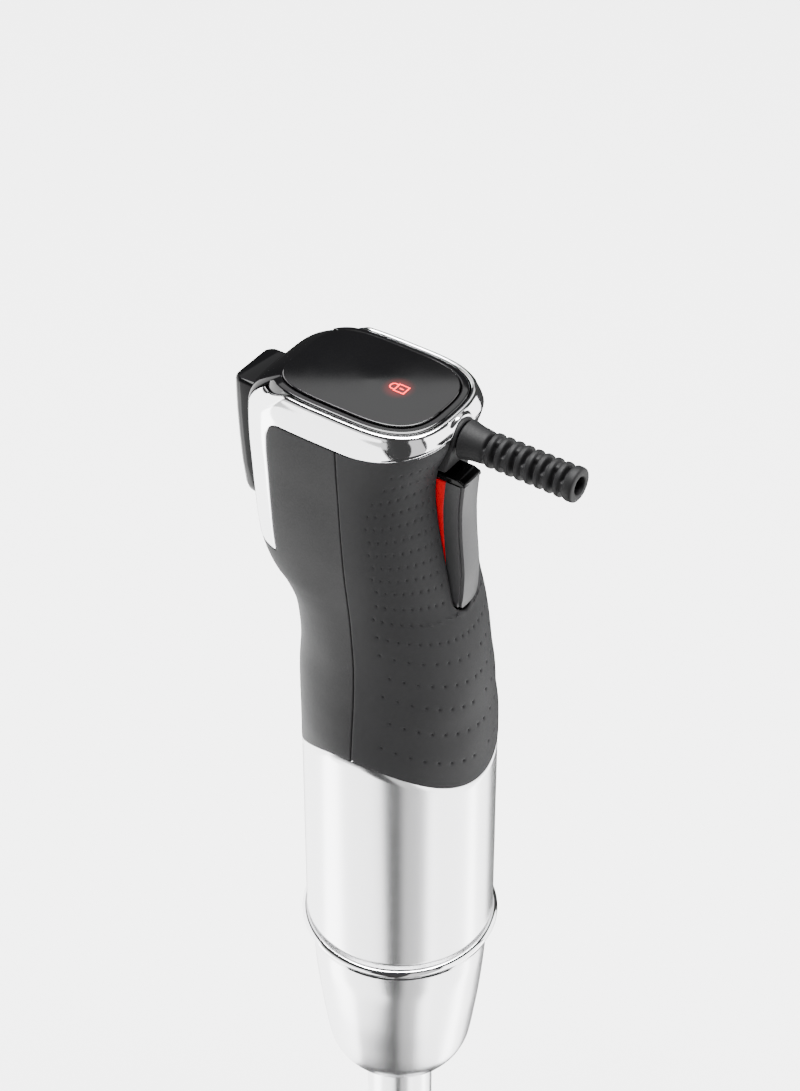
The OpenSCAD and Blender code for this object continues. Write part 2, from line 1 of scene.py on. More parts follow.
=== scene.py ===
import math
import bmesh
import bpy
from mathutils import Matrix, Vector


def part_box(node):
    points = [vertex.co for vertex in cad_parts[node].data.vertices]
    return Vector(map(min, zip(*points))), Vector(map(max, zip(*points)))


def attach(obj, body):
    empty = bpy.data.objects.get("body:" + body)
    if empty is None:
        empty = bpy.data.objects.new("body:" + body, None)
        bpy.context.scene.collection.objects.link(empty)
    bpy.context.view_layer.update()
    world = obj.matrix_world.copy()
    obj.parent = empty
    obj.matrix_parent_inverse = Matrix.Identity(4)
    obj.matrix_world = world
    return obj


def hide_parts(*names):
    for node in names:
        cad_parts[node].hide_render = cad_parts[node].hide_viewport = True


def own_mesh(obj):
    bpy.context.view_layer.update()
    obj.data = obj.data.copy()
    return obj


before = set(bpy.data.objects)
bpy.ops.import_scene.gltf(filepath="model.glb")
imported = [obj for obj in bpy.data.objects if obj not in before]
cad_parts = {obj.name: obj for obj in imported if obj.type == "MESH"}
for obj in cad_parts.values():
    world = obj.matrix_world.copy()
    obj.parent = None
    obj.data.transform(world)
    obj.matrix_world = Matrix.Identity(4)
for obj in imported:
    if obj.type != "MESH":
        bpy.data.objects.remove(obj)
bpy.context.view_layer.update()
print("frame loaded")

mm = 0.001    # pieces are worked out in millimetres and scaled once at the end
weld = 0.002    # points closer than this become one
edgeWeld = 0.01    # the same, where two sheets meet along an edge
rimCrease = 0.95    # keeps the rims of thin walls crisp when they are subdivided

camera = {
    "target": (0, 0, 0.360),
    "place": (0.5927, 0.4081, 0.9572),
    "lens": 99.33,
    "film": 36,
}


def aim(thing, target):
    away = Vector(target) - thing.location
    thing.rotation_euler = away.to_track_quat("-Z", "Y").to_euler()


def setCamera(c):
    data = bpy.data.cameras.new("viewCamera")
    data.lens = c["lens"]
    data.sensor_width = c["film"]
    eye = bpy.data.objects.new("viewCamera", data)
    eye.location = c["place"]
    aim(eye, c["target"])
    bpy.context.scene.collection.objects.link(eye)
    bpy.context.scene.camera = eye


setCamera(camera)
print("camera set")


class Wire:
    def __init__(self, finish, socket):
        self.finish = finish
        self.socket = socket

    def maths(self, kind, *values):
        return self.finish.add("ShaderNodeMath", {"operation": kind}, dict(enumerate(values)))

    def __add__(self, other):
        return self.maths("ADD", self, other)

    def __radd__(self, other):
        return self.maths("ADD", other, self)

    def __mul__(self, other):
        return self.maths("MULTIPLY", self, other)

    def __rmul__(self, other):
        return self.maths("MULTIPLY", other, self)


class Finish:
    def __init__(self, name, fixed):
        self.material = bpy.data.materials.new(name)
        self.material.use_nodes = True
        self.tree = self.material.node_tree
        self.shader = self.tree.nodes["Principled BSDF"]
        for key, value in fixed.items():
            self.shader.inputs[key].default_value = value

    def add(self, kind, settings=None, values=None, output=0):
        node = self.tree.nodes.new(kind)
        for key, value in (settings or {}).items():
            setattr(node, key, value)
        for key, value in (values or {}).items():
            self.put(node.inputs[key], value)
        return Wire(self, node.outputs[output])

    def put(self, socket, value):
        if isinstance(value, Wire):
            self.tree.links.new(value.socket, socket)
        else:
            socket.default_value = value

    def feed(self, key, value):
        self.put(self.shader.inputs[key], value)

    def place(self, stretch=(1, 1, 1), shift=(0, 0, 0)):
        spot = self.add("ShaderNodeTexCoord", output="Object")
        return self.add("ShaderNodeMapping", {},
                        {"Vector": spot, "Scale": stretch, "Location": shift})

    def noise(self, size, detail=3, stretch=(1, 1, 1)):
        return self.add("ShaderNodeTexNoise", {},
                        {"Vector": self.place(stretch), "Scale": 1 / size, "Detail": detail})

    def smooth(self, value, low, high, start=0, end=1):
        return self.add("ShaderNodeMapRange", {"interpolation_type": "SMOOTHSTEP"},
                        {"Value": value, "From Min": low, "From Max": high,
                         "To Min": start, "To Max": end})

    def blendColour(self, mask, first, second):
        # a colour Mix takes its factor at 0 and its colours at 6 and 7, and gives its result at 2
        return self.add("ShaderNodeMix", {"data_type": "RGBA"}, {0: mask, 6: first, 7: second}, 2)

    def bump(self, height, depth, strength=1):
        self.feed("Normal", self.add("ShaderNodeBump", {},
                                     {"Height": height, "Distance": depth, "Strength": strength}))


def shade(colour, amount):
    return tuple(c * amount for c in colour) + (1,)


def moulded(name, colour, rough, grain=0.0006, depth=0.00004, spread=0.08, fixed=None):
    f = Finish(name, {"Base Color": colour + (1,), "Roughness": rough, **(fixed or {})})
    fine = f.noise(grain, 2)
    cloudy = f.noise(0.03, 3)
    f.feed("Base Color", f.blendColour(cloudy, shade(colour, 1 - spread),
                                       shade(colour, 1 + spread)))
    f.feed("Roughness", f.smooth(cloudy * 0.6 + fine * 0.4, 0.3, 0.7, rough - 0.05, rough + 0.05))
    f.bump(fine, depth)
    return f.material


def brushed(name, colour, rough, lines, depth=0.000004):
    f = Finish(name, {"Base Color": colour + (1,), "Metallic": 1.0})
    streak = f.noise(0.004, 4, lines)
    stain = f.noise(0.05, 3)
    f.feed("Base Color", f.blendColour(streak * 0.6 + stain * 0.4,
                                       shade(colour, 0.98), shade(colour, 1.02)))
    f.feed("Roughness", f.smooth(streak * 0.7 + stain * 0.3, 0.3, 0.7, rough - 0.02, rough + 0.02))
    f.bump(streak, depth)
    return f.material


def polished(name, colour, rough):
    f = Finish(name, {"Base Color": colour + (1,), "Metallic": 1.0})
    haze = f.noise(0.02, 4)
    scuff = f.noise(0.0012, 3)
    f.feed("Roughness", f.smooth(haze * 0.7 + scuff * 0.3, 0.35, 0.7, rough, rough + 0.035))
    f.feed("Base Color", f.blendColour(haze, shade(colour, 0.98), shade(colour, 1.02)))
    return f.material


def glossy(name, colour, rough, shine=0.1):
    f = Finish(name, {"Base Color": colour + (1,), "Specular IOR Level": shine})
    haze = f.noise(0.018, 4)
    ripple = f.noise(0.012, 2)
    f.feed("Base Color", f.blendColour(haze, shade(colour, 0.9), shade(colour, 1.1)))
    f.feed("Roughness", f.smooth(haze, 0.3, 0.7, rough, rough + 0.04))
    f.bump(ripple, 0.000004, 0.3)
    return f.material


def panelGlass(name, colour, glow, middle):
    # black glass, with a faint glow that fades away around the lit symbol
    f = Finish(name, {"Roughness": 0.03, "Emission Strength": 1.0})
    haze = f.noise(0.03, 3)
    spot = f.place((1, 1, 0), (-middle[0], -middle[1], 0))
    away = f.add("ShaderNodeVectorMath", {"operation": "LENGTH"}, {0: spot}, "Value")
    halo = f.smooth(away, 0.0016, 0.0058, 0.5, 0)
    f.feed("Base Color", f.blendColour(haze, shade(colour, 0.9), shade(colour, 1.1)))
    f.feed("Roughness", f.smooth(haze, 0.3, 0.7, 0.02, 0.05))
    f.feed("Emission Color", f.blendColour(halo, (0, 0, 0, 1), glow + (1,)))
    return f.material


def glowing(name, colour, power):
    f = Finish(name, {"Base Color": colour + (1,), "Roughness": 0.4, "Emission Strength": power})
    grain = f.noise(0.0012, 2)
    f.feed("Emission Color", f.blendColour(grain, shade(colour, 0.85), shade(colour, 1.1)))
    return f.material


def windings(name, colour):
    f = Finish(name, {"Base Color": colour + (1,), "Metallic": 0.8, "Roughness": 0.35})
    wires = f.add("ShaderNodeTexWave", {"bands_direction": "Z", "wave_profile": "SIN"},
                  {"Vector": f.place(), "Scale": 420, "Distortion": 0.6})
    wrap = f.add("ShaderNodeTexWave", {"bands_direction": "DIAGONAL"},
                 {"Vector": f.place(), "Scale": 300, "Distortion": 1.2})
    # the colour darkens where the wire bump dips, in the grooves between the turns: painted shade
    f.feed("Base Color", f.blendColour(wires, shade(colour, 0.55), shade(colour, 1.1)))
    f.bump(wires * 0.7 + wrap * 0.3, 0.0002)
    return f.material


def circuitBoard(name, colour):
    f = Finish(name, {"Roughness": 0.35})
    tracks = f.add("ShaderNodeTexBrick", {"offset": 0.5},
                   {"Vector": f.place(), "Scale": 180, "Mortar Size": 0.06,
                    "Color1": shade(colour, 0.9), "Color2": shade(colour, 1.2),
                    "Mortar": shade(colour, 1.9)})
    f.feed("Base Color", tracks)
    f.bump(f.noise(0.002, 3), 0.00005)
    return f.material


def stacked(name, colour):
    f = Finish(name, {"Base Color": colour + (1,), "Metallic": 0.9})
    plates = f.add("ShaderNodeTexWave", {"bands_direction": "Z"},
                   {"Vector": f.place(), "Scale": 320})
    f.feed("Roughness", f.smooth(plates, 0.2, 0.8, 0.3, 0.55))
    # the plates are smoother where their bump dips, and the colour darkens there, in the grooves between
    # the plates: painted shade
    f.feed("Base Color", f.blendColour(plates, shade(colour, 0.7), shade(colour, 1.1)))
    f.bump(plates, 0.0001)
    return f.material


around = (0.12, 0.12, 26)    # streaks that run round an upright piece
iconMiddle = tuple((a + b) / 2 for a, b in zip(*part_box("lock_icon")))
finishes = {
    "grip_plastic": moulded("gripPlastic", (0.012, 0.012, 0.0124), 0.52,
                            fixed={"Specular IOR Level": 0.1}),
    "soft_grip": moulded("softGrip", (0.015, 0.015, 0.0156), 0.6, 0.0005, 0.00003,
                         fixed={"Specular IOR Level": 0.08}),
    "chrome_trim": polished("chromeTrim", (0.9, 0.9, 0.91), 0.08),
    "black_gloss": glossy("blackGloss", (0.002, 0.002, 0.0022), 0.06),
    "bezel_gloss": glossy("bezelGloss", (0.002, 0.002, 0.0022), 0.05, shine=0.5),
    "panel_glass": panelGlass("panelGlass", (0.002, 0.002, 0.0022), (0.42, 0.006, 0.006),
                              iconMiddle),
    "red_light": glowing("redLight", (0.9, 0.006, 0.008), 0.5),
    "red_plastic": glossy("redPlastic", (0.42, 0.0004, 0.0055), 0.34, shine=0.05),
    "dark_plastic": moulded("darkPlastic", (0.021, 0.021, 0.0218), 0.38, 0.0008, 0.00002,
                            fixed={"Specular IOR Level": 0.2}),
    "satin_grey": moulded("satinGrey", (0.021, 0.021, 0.0219), 0.42, 0.0004, 0.00002, 0.04,
                          {"Metallic": 0.12, "Specular IOR Level": 0.3}),
    "barrel_steel": brushed("barrelSteel", (0.86, 0.86, 0.87), 0.24, around),
    "boot_rubber": moulded("bootRubber", (0.0065, 0.0065, 0.0068), 0.55, 0.0007, 0.00003,
                           fixed={"Specular IOR Level": 0.12}),
    "inner_plastic": moulded("innerPlastic", (0.03, 0.03, 0.032), 0.5),
    "steel": brushed("machinedSteel", (0.72, 0.72, 0.73), 0.25, around),
    "laminated_steel": stacked("laminatedSteel", (0.4, 0.4, 0.42)),
    "copper_wire": windings("copperWire", (0.72, 0.32, 0.12)),
    "brass": brushed("brassParts", (0.8, 0.58, 0.28), 0.28, around),
    "carbon": moulded("carbonBrush", (0.02, 0.02, 0.02), 0.6, 0.0004, 0.00006),
    "circuit_board": circuitBoard("circuitBoard", (0.02, 0.16, 0.07)),
    "board_part": moulded("boardParts", (0.05, 0.05, 0.055), 0.4),
    "nylon": moulded("nylonParts", (0.72, 0.72, 0.68), 0.45, 0.0009, 0.00003),
    "seal_rubber": moulded("sealRubber", (0.3, 0.05, 0.04), 0.6),
}
nodeFinish = {
    "red_light": ["lock_icon", "icon_led"],
    "barrel_steel": ["bell_guard"],
    "inner_plastic": ["base_cap", "inner_frame", "switch_carrier", "cup_liner", "cord_clamp",
                      "trigger_switch", "unlock_switch", "cooling_fan", "brush_holders"],
    "steel": ["lower_bracket", "upper_bracket", "lower_bearing", "upper_bearing", "motor_screws",
              "frame_screws", "trigger_pin", "clamp_screws", "trigger_spring", "unlock_spring",
              "motor_shaft", "drive_shaft", "blade", "blade_nut"],
    "laminated_steel": ["stator_core", "armature_core"],
    "copper_wire": ["field_coils", "armature_windings"],
    "brass": ["commutator", "upper_bush", "lower_bush"],
    "carbon": ["carbon_brushes"],
    "circuit_board": ["control_board", "power_board"],
    "board_part": ["board_parts", "terminal_block"],
    "nylon": ["switch_plunger", "drive_coupler", "wand_coupler"],
    "seal_rubber": ["shaft_seal"],
}
for finishName, nodeNames in nodeFinish.items():
    for nodeName in nodeNames:
        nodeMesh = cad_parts[nodeName].data
        nodeMesh.materials.clear()
        nodeMesh.materials.append(finishes[finishName])
print("finishes made")


def mixed(a, b, f):
    return a + (b - a) * f


def lookUp(rows, x, k=1):
    # straight lines between the rows of a table
    if x <= rows[0][0]:
        return rows[0][k]
    for low, high in zip(rows, rows[1:]):
        if x <= high[0]:
            return mixed(low[k], high[k], (x - low[0]) / (high[0] - low[0]))
    return rows[-1][k]


def curveUp(rows, x, k=1):
    # the same table, with smooth curves between its rows
    last = len(rows) - 1
    if x <= rows[0][0] or x >= rows[last][0]:
        return rows[0][k] if x <= rows[0][0] else rows[last][k]
    i = max(j for j in range(last) if rows[j][0] <= x)
    step = rows[i + 1][0] - rows[i][0]
    t = (x - rows[i][0]) / step

    def slope(j):
        a = rows[max(j - 1, 0)]
        b = rows[min(j + 1, last)]
        return (b[k] - a[k]) / (b[0] - a[0]) * step

    rise = rows[i + 1][k] - rows[i][k]
    return (rows[i][k] + slope(i) * t + (3 * rise - 2 * slope(i) - slope(i + 1)) * t ** 2
            + (slope(i) + slope(i + 1) - 2 * rise) * t ** 3)


handle = {
    # height, half width, front reach, rear reach, front squareness, rear squareness,
    # how far forward the middle is
    "sections": [
        [270, 32.2, 32.2, 32.2, 2, 2, 0], [294, 32.1, 32.2, 32, 2, 2, 0],
        [304, 30.6, 32.3, 31.3, 2.1, 2, 0.5], [313, 28.9, 32.3, 30.8, 2.2, 2.1, 1],
        [323, 27.5, 32, 29.8, 2.2, 2.1, 1.5], [332, 26.7, 31.8, 28.4, 2.4, 2.2, 2],
        [341, 26.1, 32.7, 26.4, 2.7, 2.3, 2.5], [348, 25.8, 35.9, 24.5, 3.2, 2.3, 3],
        [352, 25.8, 39.2, 23.5, 3.6, 2.3, 3.3], [359, 25.9, 42.2, 22.2, 3.9, 2.4, 3.8],
        [367, 26, 43.6, 20.6, 4, 2.5, 4.3], [378, 25.8, 44.6, 18.5, 4.1, 2.6, 5],
        [390, 25.3, 45.4, 17, 4.3, 2.6, 5.8], [400, 24.9, 45.9, 17.5, 4.5, 2.7, 6.4],
        [410, 24.3, 46, 21.5, 4.5, 2.9, 6.8], [415, 24.2, 45, 22.8, 4.4, 3, 6.8],
        [420, 24, 41.5, 22, 4.2, 3, 6.8],
    ],
    "seam": [[270, 3], [294, 3], [330, 0.8], [360, -2.5], [410, -6.8]],    # height, place
    "footCurve": (294.2, 0.084, 0.0173),    # lower edge: height in the middle, slope, droop
    "footLevel": 285,      # height at which the places along the foot are taken
    "headLevel": 410,      # the same for the places along the band
    "topLevel": 420,
    "wall": 2.4,
    "seamGap": 0.006,      # radians each side
}
head = {
    "bandFoot": 409.6,
    "bandRise": 5.5,       # the band's foot rises this much over riseLong, from riseFrom backwards
    "riseFrom": -5,
    "riseLong": 25,
    "stripFoot": 361,
    "stripEdge": (-26.5, -22.5),    # corner angle of the strip's outer edge, foot and top
    "stripFront": -52,
    "stripAlign": 350,     # above this the grip's columns run straight on to the strip's edge
    "stripGap": 0.006,     # radians
    "cornerFront": -39,    # the band's corner: where it starts, and its length backwards
    "cornerLong": 9,
    "fillet": 5,
    "gap": 0.12,
    "bootHeight": 412.3,
    "collar": 6.6,
}


def skin(z, turn, inset=0.0):
    half, front, rear, frontPower, rearPower, ahead = [
        curveUp(handle["sections"], z, k) for k in range(1, 7)]
    c = math.cos(turn)
    s = math.sin(turn)
    power = rearPower if s > 0 else frontPower
    reach = rear + ahead if s > 0 else front - ahead
    size = (abs(c) ** power + abs(s) ** power) ** (-1 / power)
    return Vector(((half - inset) * c * size, -ahead + (reach - inset) * s * size, z))


def cornerTurn(z, degrees):
    # direction of the point that a rounded-square section has at this corner angle
    t = math.radians(degrees)
    power = curveUp(handle["sections"], z, 5 if degrees > 0 else 4)
    up = abs(math.sin(t)) ** (2 / power)
    return math.copysign(math.atan2(up, abs(math.cos(t)) ** (2 / power)), degrees)


def sideTurn(z, x, rear=True):
    # direction of the point that stands x to the side of the middle plane
    half = curveUp(handle["sections"], z, 1)
    power = curveUp(handle["sections"], z, 5 if rear else 4)
    share = min(x / half, 1)
    turn = math.atan2((1 - share ** power) ** (1 / power), share)
    return turn if rear else -turn


def seamTurn(z):
    ahead = curveUp(handle["sections"], z, 6)
    power = curveUp(handle["sections"], z, 5)
    reach = curveUp(handle["sections"], z, 3) + ahead
    off = max(lookUp(handle["seam"], z) + ahead, 0) / reach
    return math.atan2(off, (1 - off ** power) ** (1 / power))


def stripTurn(z):
    rise = min(max((z - head["stripFoot"]) / (head["bandFoot"] - head["stripFoot"]), 0), 1)
    return cornerTurn(z, mixed(head["stripEdge"][0], head["stripEdge"][1], rise))


def footEdge(y):
    level, slope, droop = handle["footCurve"]
    return level + slope * y - droop * y * y


def bandFoot(y):
    rise = max(y - head["riseFrom"], 0) / head["riseLong"]
    return head["bandFoot"] + head["bandRise"] * rise ** 2


def bandEdge(x, y):
    # the band's lower edge: a fillet at the strip, a rise at the back, a notch for the collar
    z = bandFoot(y)
    radius = head["fillet"]
    along = y - skin(handle["headLevel"], stripTurn(handle["headLevel"])).y
    if y < 0 and along < radius:
        z = head["bandFoot"] - radius + math.sqrt(max(radius ** 2 - (radius - along) ** 2, 0))
    if y > 0 and x < head["collar"]:
        z = max(z, head["bootHeight"] + math.sqrt(head["collar"] ** 2 - x * x))
    return z


def sheet(bm, columns, rows, place):
    # a grid of faces, each corner moved to place(column, row)
    made = bmesh.ops.create_grid(bm, x_segments=columns, y_segments=rows, size=0.5)["verts"]
    for v in made:
        v.co = place(round((v.co.x + 0.5) * columns), round((v.co.y + 0.5) * rows))


def mirrorAcross(bm):
    whole = bm.verts[:] + bm.edges[:] + bm.faces[:]
    bmesh.ops.mirror(bm, geom=whole, axis="X", merge_dist=weld)
    closeUp(bm)


def closeUp(bm):
    bmesh.ops.remove_doubles(bm, verts=bm.verts[:], dist=weld)
    bmesh.ops.recalc_face_normals(bm, faces=bm.faces[:])


def fillEnds(bm):
    bmesh.ops.remove_doubles(bm, verts=bm.verts[:], dist=weld)
    bmesh.ops.holes_fill(bm, edges=[e for e in bm.edges if e.is_boundary], sides=0)
    bmesh.ops.recalc_face_normals(bm, faces=bm.faces[:])


def thicken(bm, move, keep=False):
    # draws the flat shape out along a line, keeping its first face where nothing else closes it
    block = bmesh.ops.extrude_face_region(bm, geom=bm.faces[:], use_keep_orig=keep)
    moved = [v for v in block["geom"] if isinstance(v, bmesh.types.BMVert)]
    bmesh.ops.translate(bm, verts=moved, vec=move)
    bmesh.ops.recalc_face_normals(bm, faces=bm.faces[:])
    return moved


def turnOutwards(bm):
    # an open sheet's normals may all point inwards: flip it if most do
    centre = Vector((0, -5, 0))
    total = 0
    for f in bm.faces:
        away = f.calc_center_median() - centre
        total += f.normal.dot(Vector((away.x, away.y, 0))) * f.calc_area()
    if total < 0:
        bmesh.ops.reverse_faces(bm, faces=bm.faces[:])


def finishPiece(bm, name, body, slotName, nodes=(), wall=0, levels=0, bevel=0, sharp=35,
                material=None):
    # wall and bevel are in millimetres, and sharp is the least angle in degrees that is bevelled
    bmesh.ops.scale(bm, vec=(mm, mm, mm), verts=bm.verts[:])
    mesh = bpy.data.meshes.new(name)
    for f in bm.faces:
        f.smooth = True
    bm.to_mesh(mesh)
    bm.free()
    piece = bpy.data.objects.new(name, mesh)
    bpy.context.scene.collection.objects.link(piece)
    if wall:
        shell = piece.modifiers.new("wall", "SOLIDIFY")
        shell.thickness = wall * mm
        shell.offset = -1
        shell.edge_crease_outer = rimCrease
        shell.edge_crease_inner = rimCrease
    if bevel:
        edge = piece.modifiers.new("edge", "BEVEL")
        edge.width = bevel * mm
        edge.segments = 3
        edge.limit_method = "ANGLE"
        edge.angle_limit = math.radians(sharp)
        edge.harden_normals = True
    if levels:
        finer = piece.modifiers.new("smooth", "SUBSURF")
        finer.levels = levels
        finer.render_levels = levels
    mesh.materials.append(material or finishes[slotName])
    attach(piece, body)
    if nodes:
        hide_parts(*nodes)
    return piece


frontShell = {"sideColumns": 26, "frontColumns": 18, "lowRows": 56, "highRows": 34}


def makeFrontShell(s):
    bm = bmesh.new()
    side = s["sideColumns"]
    columns = side + s["frontColumns"]

    def turnAt(z, i):
        start = seamTurn(z) - handle["seamGap"]
        lined = max(z, head["stripFoot"]) if z > head["stripAlign"] else z
        edge = stripTurn(lined) + head["stripGap"]
        if i <= side:
            return mixed(start, edge, i / side)
        return mixed(edge, -math.pi / 2, (i - side) / (columns - side))

    def lowPlace(i, j):
        level = handle["footLevel"]
        foot = footEdge(skin(level, turnAt(level, i)).y)
        z = mixed(foot, head["stripFoot"] - head["gap"], j / s["lowRows"])
        return skin(z, turnAt(z, i))

    def highPlace(i, j):
        low = head["stripFoot"] - head["gap"]
        at = skin(handle["headLevel"], turnAt(handle["headLevel"], i))
        z = mixed(low, bandEdge(at.x, at.y) - head["gap"], j / s["highRows"])
        return skin(z, turnAt(z, i))

    sheet(bm, columns, s["lowRows"], lowPlace)
    sheet(bm, side, s["highRows"], highPlace)
    bmesh.ops.remove_doubles(bm, verts=bm.verts[:], dist=edgeWeld)
    mirrorAcross(bm)
    turnOutwards(bm)
    return finishPiece(bm, "frontGripShell", "motor_unit", "grip_plastic", ["front_grip_shell"],
                       wall=handle["wall"], levels=1)


rearShell = {
    "columns": 40,
    "rows": 104,
    "slotHalf": 5.3,
    "slotFoot": 346.6,
    "slotTop": 401.2,
    "lipOut": 0.4,         # raised lip round the slot's foot
    "lipAway": 1.0,
    "lipWidth": 0.55,
    "lipTop": 22,          # where the lip has faded away, above the slot's foot
    "lipFade": 14,
}
dimples = {
    # places are counted in the rows and columns of the rear shell
    "firstRow": 8,         # and as many rows stay clear at the top
    "rowGap": (9.5, 3.6),    # between two rows of dimples, at the foot and from closeRow up
    "closeRow": 70,
    "pitch": (4, 3),       # along a row, below and above pitchRow
    "pitchRow": 42,
    "firstColumn": 7,
    "indent": 3,           # more columns stay clear at the seam above indentRow
    "indentRow": 55,
    "taperRow": 80,        # from here up, one more for every two rows
    "slotRows": (50, 66),    # rows that keep further off the slot's foot
    "inset": (0.24, 0.36),    # share of a face's size, at the foot and higher up
    "insetRise": 1.4,
    "depth": 0.6,
    "depthFade": 0.6,      # share of the depth that is left at the top
}


def slotHalfWidth(s, z):
    if z < s["slotFoot"]:
        return 0
    if z > s["slotTop"]:
        return mixed(s["slotHalf"], head["collar"], min(z - s["slotTop"], 1))
    drop = max(s["slotFoot"] + s["slotHalf"] - z, 0)
    return math.sqrt(s["slotHalf"] ** 2 - drop ** 2)


def isDimple(d, columns, rows, i, j):
    # staggered rows that lie closer together, and closer along the row, the higher they are
    starts = [d["firstRow"]]
    while starts[-1] < rows - d["firstRow"]:
        starts.append(starts[-1] + round(mixed(*d["rowGap"], min(starts[-1] / d["closeRow"], 1))))
    if j not in starts:
        return False
    pitch = d["pitch"][0] if j < d["pitchRow"] else d["pitch"][1]
    stagger = starts.index(j) % 2 * (pitch // 2)
    first = d["firstColumn"] + max(j - d["taperRow"], 0) // 2
    if j > d["indentRow"]:
        first += d["indent"]
    clear = 2 if d["slotRows"][0] < j < d["slotRows"][1] else 1
    return first <= i < columns - clear and (i + stagger) % pitch == 0


def makeRearShell(s, d):
    bm = bmesh.new()
    columns = s["columns"]
    rows = s["rows"]

    def rearPlace(i, j):
        f = i / columns
        level = handle["footLevel"]
        foot = footEdge(skin(level, mixed(seamTurn(level), math.pi / 2, f)).y)
        at = skin(handle["headLevel"], mixed(seamTurn(handle["headLevel"]), math.pi / 2, f))
        z = mixed(foot, bandFoot(at.y) - head["gap"], j / rows)
        start = seamTurn(z) + handle["seamGap"]
        p = skin(z, mixed(start, sideTurn(z, slotHalfWidth(s, z)), f))
        drop = max(s["slotFoot"] + s["slotHalf"] - z, 0)
        away = math.hypot(p.x, drop) - s["slotHalf"]
        fade = max(0, min(1, (s["slotFoot"] + s["lipTop"] - z) / s["lipFade"]))
        p.y += s["lipOut"] * fade * math.exp(-((away - s["lipAway"]) / s["lipWidth"]) ** 2)
        return p

    made = bmesh.ops.create_grid(bm, x_segments=columns, y_segments=rows, size=0.5)["verts"]
    height = {}    # the chosen faces, each with its share of the height
    for f in bm.faces:
        c = f.calc_center_median()
        i = int((c.x + 0.5) * columns)
        j = int((c.y + 0.5) * rows)
        if isDimple(d, columns, rows, i, j):
            height[f] = j / rows
    for v in made:
        v.co = rearPlace(round((v.co.x + 0.5) * columns), round((v.co.y + 0.5) * rows))
    bm.normal_update()
    for f, share in height.items():
        inset = mixed(*d["inset"], min(share * d["insetRise"], 1)) * math.sqrt(f.calc_area())
        bmesh.ops.inset_individual(bm, faces=[f], thickness=inset, depth=0, use_even_offset=True)
        depth = d["depth"] * mixed(1, d["depthFade"], share)
        bmesh.ops.translate(bm, verts=f.verts[:], vec=f.normal * -depth)
    mirrorAcross(bm)
    turnOutwards(bm)
    return finishPiece(bm, "rearGripShell", "motor_unit", "soft_grip", ["rear_grip"],
                       wall=handle["wall"], levels=1)


makeFrontShell(frontShell)
makeRearShell(rearShell, dimples)
print("grip shells made")

trim = {
    "stripColumns": 8,
    "bandColumns": 84,
    "stripRows": 40,
    "wall": 0.8,
    # band section above its foot: inset and height
    "roll": [(0.02, 411.4), (0.09, 412.6), (0.21, 413.8), (0.39, 415), (0.62, 416.2), (0.86, 417.2),
             (1.02, 417.9), (1.1, 418.5), (1.2, 419), (1.38, 419.45), (1.7, 419.78), (2.3, 419.9),
             (3.05, 419.6), (3.15, 419.1), (3.2, 417.6), (3.2, 416.2)],
    # the same rows at the front corner, where the band turns down into the strip
    "cornerRoll": [(0, 410.6), (0.1, 411.2), (0.27, 412), (0.5, 412.8), (0.85, 413.6), (1.25, 414.5),
                   (1.65, 415.2), (2, 415.7), (2.3, 416.05), (2.6, 416.3), (2.85, 416.4), (3, 416.4),
                   (3.1, 416.3), (3.15, 416), (3.2, 415), (3.2, 414)],
    "footRows": 3,
    "top": 419.8,
    "spread": 1.12,        # crowds the columns towards the strip
    "leastFoot": 0.4,      # least height of the flat foot, and of the roll's first row
    "leastRoll": 0.5,
    "squeezeFrom": 412.4,    # the roll is squeezed above this where the foot rises into it
    "squeezeInset": 1.3,
}


def bandShare(y):
    # 0 at the front corner, 1 along the side
    share = min(max((y - head["cornerFront"]) / head["cornerLong"], 0), 1)
    return share * share * (3 - 2 * share)


def makeTrim(t):
    bm = bmesh.new()
    strip = t["stripColumns"]
    columns = strip + t["bandColumns"]
    shoulder = head["bandFoot"] - head["fillet"]

    def turnAt(z, i):
        z = min(z, t["top"])
        inner = cornerTurn(z, head["stripFront"])
        edge = stripTurn(z)
        if i <= strip:
            return mixed(inner, edge, i / strip)
        return mixed(edge, math.pi / 2, ((i - strip) / (columns - strip)) ** t["spread"])

    def bandPlace(i, j):
        at = skin(handle["headLevel"], turnAt(handle["headLevel"], i))
        foot = shoulder if i <= strip else bandEdge(at.x, at.y)
        row = max(j - t["footRows"] - 1, 0)
        inset, z = [mixed(a, b, bandShare(at.y))
                    for a, b in zip(t["cornerRoll"][row], t["roll"][row])]
        if j <= t["footRows"]:
            z = mixed(foot, max(z, foot + t["leastFoot"]), j / (t["footRows"] + 1))
            return skin(z, turnAt(z, i))
        if inset < t["squeezeInset"]:
            share = (z - t["squeezeFrom"]) / (t["top"] - t["squeezeFrom"])
            z = max(z, mixed(foot + t["leastRoll"], t["top"], share))
        return skin(z, turnAt(z, i), inset)

    def stripPlace(i, j):
        z = mixed(head["stripFoot"], shoulder, j / t["stripRows"])
        return skin(z, turnAt(z, i))

    sheet(bm, columns, t["footRows"] + len(t["roll"]), bandPlace)
    sheet(bm, strip, t["stripRows"], stripPlace)
    bmesh.ops.remove_doubles(bm, verts=bm.verts[:], dist=edgeWeld)
    mirrorAcross(bm)
    turnOutwards(bm)
    return finishPiece(bm, "headTrim", "motor_unit", "chrome_trim", ["head_trim"],
                       wall=t["wall"], levels=1)


makeTrim(trim)
print("chrome trim made")

